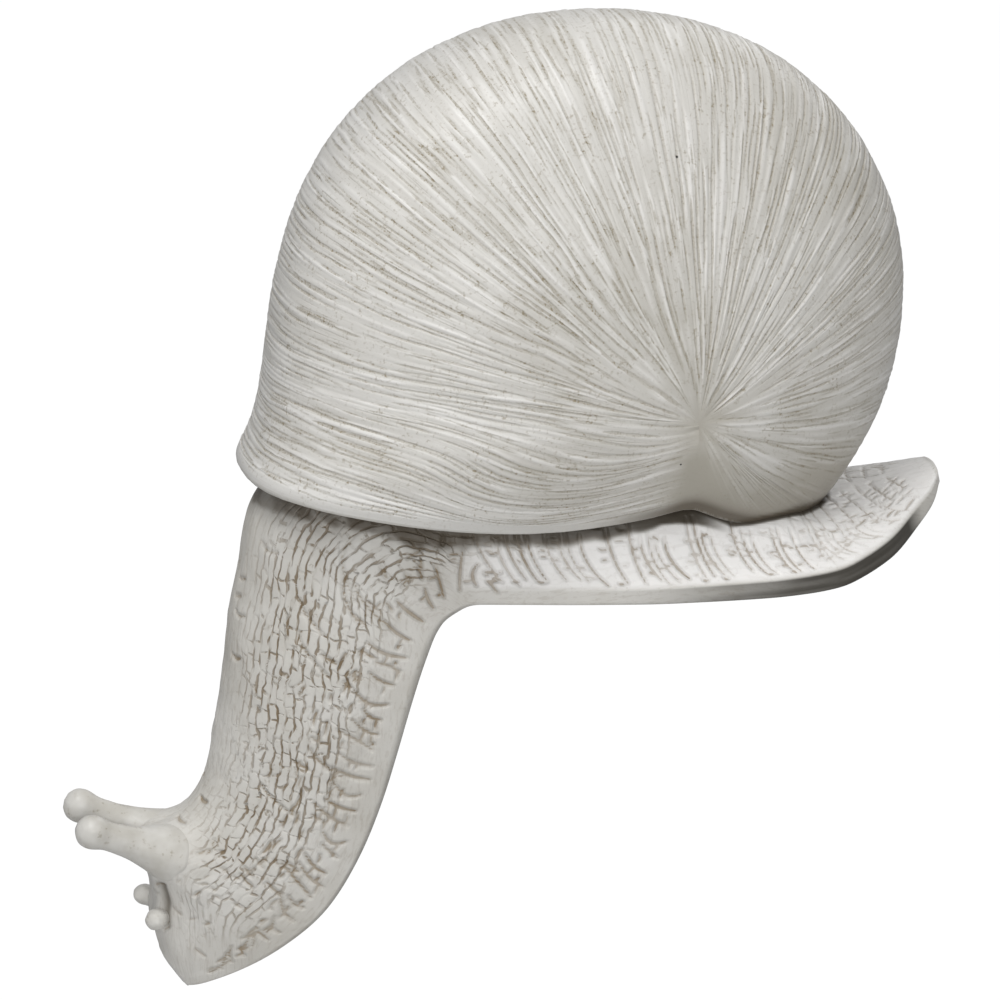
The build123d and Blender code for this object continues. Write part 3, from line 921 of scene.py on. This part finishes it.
def carve(points, along, climb, made):
    """For each point of the skin, its distance outside the nearest stroke and that stroke's strength."""
    gap, ink = np.full(points.shape[:2], UNCUT), np.zeros(points.shape[:2])
    for line, width, strength in made:
        i = np.interp(line[:, 0], along, np.arange(len(along)))
        rows = np.clip(np.round(i).astype(int), 0, len(along) - 1)
        kept = line[:, 1] < climb[rows, -1] - 0.8
        if kept.sum() < 3:
            continue
        i, columns = i[kept], np.arange(climb.shape[1])
        j = np.array([np.interp(b, climb[r], columns) for r, b in zip(rows[kept], line[kept, 1])])
        path = between(points, i, j)
        block = (slice(max(int(i.min()) - 5, 0), int(i.max()) + 6),
                 slice(max(int(j.min()) - 6, 0), int(j.max()) + 7))
        skin = points[block]
        best = np.full(skin.shape[:2], 9.0)
        for k in range(len(path) - 1):
            step = path[k + 1] - path[k]
            t = np.clip(((skin - path[k]) @ step) / max(step @ step, 1e-9), 0, 1)
            half = width * np.sin(np.clip(0.10 + 0.85 * ((k + t) / (len(path) - 1)), 0, 1) * pi)**0.55
            best = np.minimum(best, length_of(skin - (path[k] + t[..., None] * step)) - half)
        nearer = best < gap[block]
        ink[block][nearer] = strength
        gap[block][nearer] = best[nearer]
    return gap, ink


def body_piece():
    """Foot, neck and head in one carved skin, with the seat that closes the shell's mouth."""
    along, data = stations(BODY_STATIONS)
    halves, climbs, lengths = [], [], []
    for x, z, lean, *section in data:
        half, climb, length = half_section(*section)
        out = np.array([cos(radians(lean)), 0, sin(radians(lean))])
        halves.append(np.array([x, 0, z]) + half[:, 1:] * out - half[:, :1] * [0, 1, 0])
        climbs.append(climb)
        lengths.append(length)
    near, climb, length = np.array(halves), np.array(climbs), np.array(lengths)[:, None]
    bend = float(np.interp(-BEND_PLACE, -data[:, 0], along))
    normal = np.cross(np.gradient(near, axis=1), np.gradient(near, axis=0))
    normal[:, -1, 1] = normal[:, 0, 1] = 0
    normal = unit(normal)
    x, y, z = np.moveaxis(near, -1, 0)
    a = along[:, None] * np.ones_like(x)
    on_neck, head = ease(a, bend - 6, bend + 12), ease(a, along[-1] - 26, along[-1] - 6)
    skin, to_crest = ease(climb, -0.4, 1.2), length - climb
    rim_line = near[:, np.argmin(np.abs(climb[len(along) // 2]))]
    rim_rate = length_of(np.gradient(rim_line, axis=0)) / (along[1] - along[0])

    def rim_run(place):
        return float(np.clip(np.interp(place, along, rim_rate), 0.45, 1.4))

    # Painted shade: a dark band under the lip, a thin dark line where the shell's rear meets the foot,
    # mottled brown shade under the lip on the neck, and the darkest shade deep in the crevice
    from_shell = np.maximum(shell_gap(x, y, z), lip_height(x) - z)
    places_x = np.linspace(-50.0, 110.0, 161)
    overhang = SHELL_HALF_WIDTH * flank_side(places_x, lip_height(places_x) + LIP_ROLL)
    under_lip = lip_height(x) - z - SEEN_SLOPE * (np.interp(x, places_x, overhang) - np.abs(y))
    under_lip += lumps(x / 2.3, (z - y) / 2.3, 60, 0.9)
    reach = 1.0 + 1.5 * bell(x + 1, 9) + 0.5 * bell(x - 22, 12) - 0.35 * bell(x - 48, 9)
    rear = ease(x, 46, 58)
    band = (1 - ease(under_lip, 0.9 * reach, 2.3 * reach)) * (1 - ease(x, 49, 58))
    thin = 1 - ease(from_shell, 0.4 - 0.3 * rear, 2.4 - 1.3 * rear)
    crevice = np.maximum(band, thin) * ease(climb, 0.5, 3) * (1 - 0.45 * ease(-x, 6, 22))
    smear_and_shade = 0.55 * (1 - ease(under_lip, 1.0, 6.5)) * ease(-x, -6, 4) * grain(x / 1.7, (z - y) / 1.7, 62)
    inner = crevice * ease(x, 8, 26) * (1 - (1 - rear) * ease(under_lip, 0.5, 1.9))

    # The face: it swells towards stalks and feelers, with a fold and a pocket beside the near feeler; the
    # pocket is also darkened with painted shade
    from_stalk = off_limb(near, stalk_line(-1), STALK_PROFILE)
    swell = fillet(from_stalk, STALK_FILLET)
    swell += fillet(off_limb(near, feeler_line(-1), [(0, FEELER_RADIUS)]), FEELER_FILLET)
    ahead, above = near @ SEEN_AHEAD, near @ SEEN_UP
    fold = bell(ahead + 52.6, 1.0) * ease(above, -69.0, -65.5) * ease(above, -58.0, -61.0)
    pocket = bell(ahead + 50.9 + 0.04 * (above + 65), 0.75)
    pocket = pocket * ease(above, -72.0, -69.5) * ease(above, -60.5, -62.5) * (x < -40)

    # What the paint follows
    scaly = on_neck * ease(climb, 2.5, 9.0) * (1 - 0.72 * head) * (0.16 + 0.84 * ease(to_crest, 4.0, 17.0))
    scaly = scaly * (0.15 + 0.85 * ease(from_stalk, 0.5, 5.5)) + (1 - on_neck) * 0.08 * skin
    # Painted shade, near black: on the foot's wall, strongest under the tail, deep in the crevice under the
    # shell, and on the neck's underside
    soot = np.interp(a, *WALL_SHADE) * (0.92 * ease(-climb, -0.1, 0.5) + 0.14 * ease(-climb, 1.2, 3.0))
    soot = np.maximum(soot * (0.84 + 0.32 * grain(a / 9, climb / 0.9 + 40, 61)), 0.55 * inner)
    soot = np.clip(soot + 0.42 * on_neck * ease(-climb, 3.0, 4.3), 0, 0.98)
    # fresh makes the foot's back whiter than the neck: dry-brushed chalk, and painted light on its upward
    # face
    paint = {"scaly": scaly, "grime": np.clip(crevice * 0.95 + smear_and_shade + 0.85 * pocket, 0, 1),
             "fresh": (1 - on_neck) * skin * (1 - crevice), "soot": soot}
    base = (swell + FACE_FOLD * fold - FACE_POCKET * pocket) * skin - SKIN_SINK
    sides = []
    for side, seed in ((-1, 5), (1, 105)):
        gap, ink = carve(near, along, climb, strokes(seed, bend, along[-1], rim_run))
        cut = (1 - ease(gap, -0.15, 0.40)) * (0.35 + 0.65 * ink) * (1 - 0.5 * head)
        c = to_crest * side
        height = (lumps(a / 4.2, c / 3.6, 7, 0.30) + lumps(a / 1.9, c / 1.5, 8, 0.14)) * skin
        height = (height + lumps(a / 14, c / 11, 9, 0.5) * ease(climb, -3, 2)) * ease(a, 0, 6)
        height += base - CARVED * cut
        if sides:
            height[:, -1] = sides[0][1]
        placed = (near + normal * height[..., None]) * [1, -side, 1]
        placed[:, -1, 1] = placed[:, 0, 1] = 0
        places = np.stack([a / UV_SPAN, (c + 100) / UV_SPAN], -1)
        sides.append((placed, height[:, -1], places, {"gap": gap, "ink": ink, **paint}))

    def joined(one, other):
        return np.concatenate([one, other[:, -2:0:-1]], 1)

    (placed, _, places, marks), (far_placed, _, far_places, far_marks) = sides
    casting, ring = Casting(), joined(placed, far_placed)
    casting.grid(ring, joined(places, far_places), closed=True,
                 **{name: joined(marks[name], far_marks[name]) for name in marks})
    for end, inner, out in ((ring[0], ring[1], 1.1), (ring[-1], ring[-2], 1.5)):
        middle = end.mean(0)
        ahead = unit(middle - inner.mean(0))
        rings = [end]
        for angle in np.radians([25, 50, 72]):
            rings.append(middle + (end - middle) * cos(angle) + ahead * out * sin(angle))
        # The caps take a little chalk white and a touch of painted shade
        casting.grid(np.array(rings), closed=True, gap=UNCUT, fresh=0.2, grime=0.05)
        casting.fan(rings[-1], middle + ahead * out, gap=UNCUT, fresh=0.2, grime=0.05)
    seat_plate(casting)
    casting.piece("snail_body", skin_finish(), "body_resin", "body")
    return near[-HEAD_STATIONS:], normal[-HEAD_STATIONS:]


def seat_plate(casting):
    """The seat's underside, a step above the lip, which closes the mouth round the foot."""
    x = np.linspace(-40.0, 95.0, 400)
    inside = x[flank_side(x, lip_height(x) + SEAT_STEP, SEAT_INSET) > 0.05]
    x = np.linspace(inside[0], inside[-1], 70)
    z = lip_height(x) + SEAT_STEP
    y = (SHELL_HALF_WIDTH - SEAT_INSET) * flank_side(x, z, SEAT_INSET)
    across = np.linspace(-1, 1, 9)
    low = np.stack(np.broadcast_arrays(x[:, None], y[:, None] * across, z[:, None]), -1)
    section = np.concatenate([low, (low + [0, 0, SEAT_PLATE])[:, ::-1]], 1)
    # The seat's underside, inside the shell's mouth, is painted dark as shade
    casting.grid(section, closed=True, gap=UNCUT, grime=0.85)
    for end in (section[0], section[-1]):
        casting.fan(end, end.mean(0), gap=UNCUT, grime=0.85)


# Eye stalks and feelers

def brow():
    """The head's back at the station that carries the eye stalks."""
    x, z, lean, depth = sized(NECK, NECK_SHARES)[BROW_STATION][:4]
    return np.array([x + depth * cos(radians(lean)), 0, z + depth * sin(radians(lean))])


def stalk_line(side):
    """Root and tip of an eye stalk."""
    return brow() + [8.6, side * 4.2, -5.2], brow() + [-12.1, side * 7.5, 3.75]


def feeler_line(side):
    """Root and tip of a feeler, whose root hides in the face."""
    return brow() + [3.8, side * 1.5, -17.8], brow() + [0.4, side * 7.0, -16.3]


def off_limb(points, ends, profile):
    """Distance of points from the surface of a round limb between two ends."""
    start, end = ends
    step = end - start
    t = np.clip(((points - start) @ step) / (step @ step), 0, 1)
    return length_of(points - (start + t[..., None] * step)) - np.interp(t * length_of(step), *zip(*profile))


def fillet(gap, reach):
    """How far a surface rises where it meets another at this distance, as in one soft casting."""
    return reach / 4 * np.clip(1 - np.abs(gap) / reach, 0, 1)**2


def turned(name, node, ends, profile, bulb, seed, shade_ramp, head, reach, rings=72, sides=60):
    """A round limb from root to tip, thicker and thinner as its profile says, closed at both ends."""
    root, tip = ends
    axis, length = unit(tip - root), length_of(tip - root)
    side = unit(np.cross(axis, [0, 1, 0]))
    other = np.cross(axis, side)
    places, radii = np.array(profile + [(length + s, r) for s, r in bulb], float).T
    fine = np.linspace(places[0], places[-1], rings)[:, None]
    angle = np.linspace(0, 2 * pi, sides, endpoint=False)
    radius = np.maximum(flowing(places, radii)(fine), 0.02) * np.ones(sides)
    bumps = lumps(2.4 * np.cos(angle) + 9, 2.4 * np.sin(angle) + 9 + fine / 2.4, seed, 0.22)
    radius += bumps * (radius > 0.8)
    line = root + axis * fine
    out = np.cos(angle)[:, None] * side + np.sin(angle)[:, None] * other
    skin = line[:, None] + radius[..., None] * out
    mirror = np.array([1, -np.sign(root[1]), 1])
    face, normals = head[0].reshape(-1, 3), head[1].reshape(-1, 3)
    for ring in skin:
        near = ring * mirror
        closest = ((near[:, None] - face)**2).sum(-1).argmin(1)
        ring += out * fillet(((near - face[closest]) * normals[closest]).sum(-1), reach)[:, None]
    # Painted shade in brown near the root, where the limb meets the face
    strength, span, fade = shade_ramp
    casting = Casting()
    casting.grid(skin, closed=True, grime=strength * ease(span - fine, 0, fade) * np.ones(sides))
    casting.fan(skin[0], line[0])
    casting.fan(skin[-1], line[-1])
    casting.piece(name, stalk_paint, "stalk_resin", node)


def limbs(head):
    """Both eye stalks with their bulbs, and both short feelers below them."""
    for word, side in (("left", -1), ("right", 1)):
        turned(f"eye_{word}", f"eye_stalk_{word}", stalk_line(side), STALK_PROFILE[:-1], STALK_BULB,
               20 + side, (0.06, 9, 5), head, STALK_FILLET)
        turned(f"feeler_bulb_{word}", f"feeler_{word}", feeler_line(side), FEELER_PROFILE, FEELER_BULB,
               30 + side, (0.22, 4, 3), head, FEELER_FILLET)


# Set

def studio():
    """A plain white floor well below the ledge, soft lamps, and a room that the camera sees as white."""
    size, drop = 6.0, -0.42
    mesh = bpy.data.meshes.new("floor")
    corners = [(-size, -size, drop), (size, -size, drop), (size, size, drop), (-size, size, drop)]
    mesh.from_pydata(corners, [], [(0, 1, 2, 3)])
    mesh.materials.append(floor_finish())
    link("floor", mesh)
    f = Finish("studio", bpy.data.worlds)
    bpy.context.scene.world = f.owner
    room = f.node("Background", None, {"Color": (0.97, 0.98, 1.0, 1), "Strength": 0.46})
    white = f.node("Background", None, {"Color": (1, 1, 1, 1), "Strength": 1.0})
    seen, through = (f.node("LightPath", out=f"Is {ray} Ray") for ray in ("Camera", "Transmission"))
    f.mix(seen.maths("MAXIMUM", through), room, white, "OutputWorld")
    aim = Vector((-0.02, 0, 0.02))
    for name, place, width, power in (("key", (-0.32, -0.30, 1.00), 0.50, 5.0),
                                      ("front", (-0.20, -1.15, 0.28), 0.60, 5.2),
                                      ("rear", (0.60, 0.70, 0.60), 0.70, 2.0)):
        lamp = bpy.data.lights.new(name, "AREA")
        lamp.size, lamp.energy = width, power
        holder = link(name, lamp)
        holder.location = place
        holder.rotation_euler = (aim - Vector(place)).to_track_quat("-Z", "Y").to_euler()


def camera():
    """The photograph's view: from the snail's left and a little above, far enough to flatten it."""
    swing, tilt, distance, half_view = radians(13), radians(18), 1.2, 0.1
    right = Vector((cos(swing), -sin(swing), 0))
    back = Vector((-sin(swing) * cos(tilt), -cos(swing) * cos(tilt), sin(tilt)))
    target = Vector((-0.0284, 0.0009, 0.0141))
    lens = bpy.data.cameras.new("camera")
    lens.sensor_fit = "HORIZONTAL"
    lens.angle = 2 * atan(half_view / distance)
    lens.clip_start, lens.clip_end = 0.1, 20
    holder = link("camera", lens)
    turn = Matrix((right, back.cross(right), back)).transposed().to_4x4()
    holder.matrix_world = Matrix.Translation(target + back * distance) @ turn
    bpy.context.scene.camera = holder


def recoat(node, finish):
    """Gives a cast node its own finish."""
    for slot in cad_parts[node].material_slots:
        slot.material = finish


stalk_paint = stalk_finish()
shell_piece()
limbs(body_piece())
recoat("shell_bond", hidden_finish("cured_epoxy", EPOXY, CLEAR_EPOXY, 90.0, 3.0, (0.22, 0.2), 0.0004, 0.6))
drawn_steel = hidden_finish("drawn_steel", STEEL, BRIGHT_STEEL, 1400.0, 2.0, (0.32, 0.15), 0.00005, 0.5,
                            Metallic=1.0)
for word in ("left", "right"):
    recoat(f"eye_stalk_wire_{word}", drawn_steel)
studio()
camera()
bpy.context.scene.view_settings.view_transform = "Standard"
